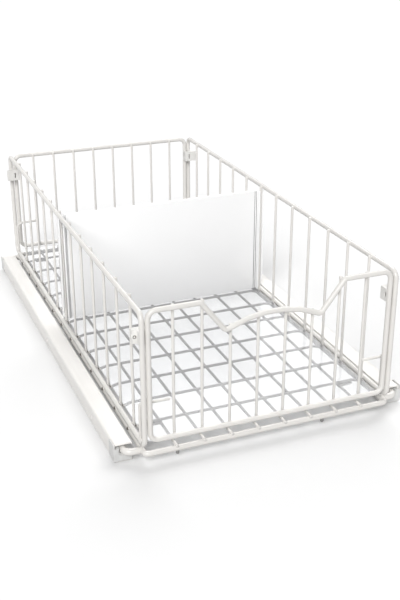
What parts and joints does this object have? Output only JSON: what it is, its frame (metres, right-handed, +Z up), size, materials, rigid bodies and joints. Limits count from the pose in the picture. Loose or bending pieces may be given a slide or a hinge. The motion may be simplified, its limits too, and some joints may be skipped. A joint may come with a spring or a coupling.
{
  "type": "pull-out cabinet basket",
  "caption": "Long wire basket on side runner rails for a base cabinet, with a translucent floor mat, a dipped front panel and a clip-on white divider.",
  "frame": {"origin": "on the plane of the rails' undersides, midway between the rails and midway along them", "axes": "+X to the right as seen from the front, +Y to the back of the cabinet, +Z up; the basket pulls out towards -Y"},
  "size_m": [0.268, 0.4814, 0.1375],
  "materials": {
    "rail_coat": "smooth satin powder coat, white",
    "wire_coat": "satin powder coat, warm white",
    "guide_plastic": "moulded, light grey",
    "clip_plastic": "moulded, pale grey",
    "mat_film": "translucent, milky, frosted underside",
    "divider_plastic": "smooth, glossy, white",
    "bumper_rubber": "matte, dark grey"
  },
  "bodies": {
    "rails": {"rail_left": "rail_coat", "rail_right": "rail_coat", "front_guide_left": "guide_plastic", "front_guide_right": "guide_plastic", "rear_guide_left": "guide_plastic", "rear_guide_right": "guide_plastic"},
    "basket": {"runner_rod_left": "wire_coat", "runner_rod_right": "wire_coat", "rear_glide_left": "guide_plastic", "rear_glide_right": "guide_plastic", "base_frame": "wire_coat", "floor_long_wires": "wire_coat", "floor_cross_wires": "wire_coat", "floor_mat": "mat_film", "side_frame_left": "wire_coat", "side_frame_right": "wire_coat", "side_uprights_left": "wire_coat", "side_uprights_right": "wire_coat", "front_frame": "wire_coat", "front_uprights": "wire_coat", "back_frame": "wire_coat", "back_uprights": "wire_coat", "hook_wire_front_left": "wire_coat", "hook_wire_front_right": "wire_coat", "hook_wire_back_left": "wire_coat", "hook_wire_back_right": "wire_coat", "clip_front_left": "clip_plastic", "clip_front_right": "clip_plastic", "clip_back_left": "clip_plastic", "clip_back_right": "clip_plastic", "corner_tabs": "wire_coat", "bar_bumpers": "bumper_rubber"},
    "divider": {"divider": "divider_plastic"}
  },
  "joints": [
    {"name": "basket_pull_out", "type": "slide", "parent": "rails", "child": "basket", "axis": [0, -1, 0], "range_m": [0, 0.38]},
    {"name": "divider_unclip", "type": "slide", "parent": "basket", "child": "divider", "axis": [0, 1, 0], "range_m": [0, 0.028]}
  ]
}
